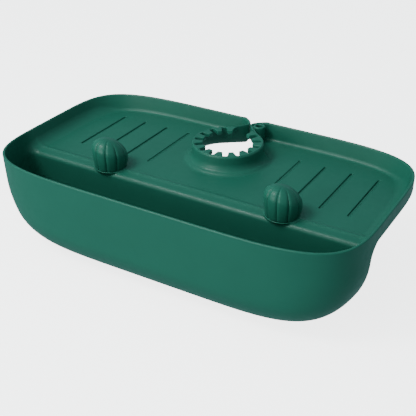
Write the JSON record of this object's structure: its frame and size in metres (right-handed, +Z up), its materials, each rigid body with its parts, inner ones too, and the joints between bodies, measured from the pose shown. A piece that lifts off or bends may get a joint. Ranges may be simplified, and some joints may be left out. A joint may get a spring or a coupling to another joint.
{
  "type": "sink faucet tray",
  "caption": "Moulded sink splash guard: a grooved drip shelf round the tap, a deep front trough, a slit toothed collar and two fluted lift-off posts.",
  "frame": {"origin": "the tap's axis where it crosses the worktop, which is the plane of the shelf's underside", "axes": "+X to the right along the length, +Y to the wall behind the sink, +Z up along the tap"},
  "size_m": [0.3698, 0.2128, 0.1054],
  "materials": {
    "tray_silicone": "satin moulded silicone, dark green",
    "tooth_silicone": "satin moulded silicone, dark green",
    "post_silicone": "satin moulded silicone, dark green"
  },
  "bodies": {
    "tray": {"tray": "tray_silicone", "faucet_collar": "tray_silicone", "closure_eyelet": "tray_silicone"},
    "tooth_01": {"tooth_01": "tooth_silicone"},
    "tooth_02": {"tooth_02": "tooth_silicone"},
    "tooth_03": {"tooth_03": "tooth_silicone"},
    "tooth_04": {"tooth_04": "tooth_silicone"},
    "tooth_05": {"tooth_05": "tooth_silicone"},
    "tooth_06": {"tooth_06": "tooth_silicone"},
    "tooth_07": {"tooth_07": "tooth_silicone"},
    "tooth_08": {"tooth_08": "tooth_silicone"},
    "tooth_09": {"tooth_09": "tooth_silicone"},
    "tooth_10": {"tooth_10": "tooth_silicone"},
    "tooth_11": {"tooth_11": "tooth_silicone"},
    "tooth_12": {"tooth_12": "tooth_silicone"},
    "tooth_13": {"tooth_13": "tooth_silicone"},
    "tooth_14": {"tooth_14": "tooth_silicone"},
    "post_left": {"post_left": "post_silicone"},
    "post_right": {"post_right": "post_silicone"}
  },
  "joints": [
    {"name": "tooth_01_flex", "type": "hinge", "parent": "tray", "child": "tooth_01", "pos_m": [-0.01212, 0.02722, 0.0193], "axis": [-0.9135, -0.4067, 0], "range_deg": [-50, 60], "stiffness_Nm_per_rad": 0.004},
    {"name": "tooth_02_flex", "type": "hinge", "parent": "tray", "child": "tooth_02", "pos_m": [-0.02215, 0.01994, 0.0193], "axis": [-0.6691, -0.7431, 0], "range_deg": [-50, 60], "stiffness_Nm_per_rad": 0.004},
    {"name": "tooth_03_flex", "type": "hinge", "parent": "tray", "child": "tooth_03", "pos_m": [-0.02834, 0.00921, 0.0193], "axis": [-0.309, -0.9511, 0], "range_deg": [-50, 60], "stiffness_Nm_per_rad": 0.004},
    {"name": "tooth_04_flex", "type": "hinge", "parent": "tray", "child": "tooth_04", "pos_m": [-0.02964, -0.00312, 0.0193], "axis": [0.1045, -0.9945, 0], "range_deg": [-50, 60], "stiffness_Nm_per_rad": 0.004},
    {"name": "tooth_05_flex", "type": "hinge", "parent": "tray", "child": "tooth_05", "pos_m": [-0.02581, -0.0149, 0.0193], "axis": [0.5, -0.866, 0], "range_deg": [-50, 60], "stiffness_Nm_per_rad": 0.004},
    {"name": "tooth_06_flex", "type": "hinge", "parent": "tray", "child": "tooth_06", "pos_m": [-0.01752, -0.02411, 0.0193], "axis": [0.809, -0.5878, 0], "range_deg": [-50, 60], "stiffness_Nm_per_rad": 0.004},
    {"name": "tooth_07_flex", "type": "hinge", "parent": "tray", "child": "tooth_07", "pos_m": [-0.0062, -0.02915, 0.0193], "axis": [0.9781, -0.2079, 0], "range_deg": [-50, 60], "stiffness_Nm_per_rad": 0.004},
    {"name": "tooth_08_flex", "type": "hinge", "parent": "tray", "child": "tooth_08", "pos_m": [0.01212, 0.02722, 0.0193], "axis": [-0.9135, 0.4067, 0], "range_deg": [-50, 60], "stiffness_Nm_per_rad": 0.004},
    {"name": "tooth_09_flex", "type": "hinge", "parent": "tray", "child": "tooth_09", "pos_m": [0.02215, 0.01994, 0.0193], "axis": [-0.6691, 0.7431, 0], "range_deg": [-50, 60], "stiffness_Nm_per_rad": 0.004},
    {"name": "tooth_10_flex", "type": "hinge", "parent": "tray", "child": "tooth_10", "pos_m": [0.02834, 0.00921, 0.0193], "axis": [-0.309, 0.9511, 0], "range_deg": [-50, 60], "stiffness_Nm_per_rad": 0.004},
    {"name": "tooth_11_flex", "type": "hinge", "parent": "tray", "child": "tooth_11", "pos_m": [0.02964, -0.00312, 0.0193], "axis": [0.1045, 0.9945, 0], "range_deg": [-50, 60], "stiffness_Nm_per_rad": 0.004},
    {"name": "tooth_12_flex", "type": "hinge", "parent": "tray", "child": "tooth_12", "pos_m": [0.02581, -0.0149, 0.0193], "axis": [0.5, 0.866, 0], "range_deg": [-50, 60], "stiffness_Nm_per_rad": 0.004},
    {"name": "tooth_13_flex", "type": "hinge", "parent": "tray", "child": "tooth_13", "pos_m": [0.01752, -0.02411, 0.0193], "axis": [0.809, 0.5878, 0], "range_deg": [-50, 60], "stiffness_Nm_per_rad": 0.004},
    {"name": "tooth_14_flex", "type": "hinge", "parent": "tray", "child": "tooth_14", "pos_m": [0.0062, -0.02915, 0.0193], "axis": [0.9781, 0.2079, 0], "range_deg": [-50, 60], "stiffness_Nm_per_rad": 0.004},
    {"name": "post_left_lift", "type": "slide", "parent": "tray", "child": "post_left", "axis": [0, 0, 1], "range_m": [0, 0.03]},
    {"name": "post_right_lift", "type": "slide", "parent": "tray", "child": "post_right", "axis": [0, 0, 1], "range_m": [0, 0.03]}
  ]
}
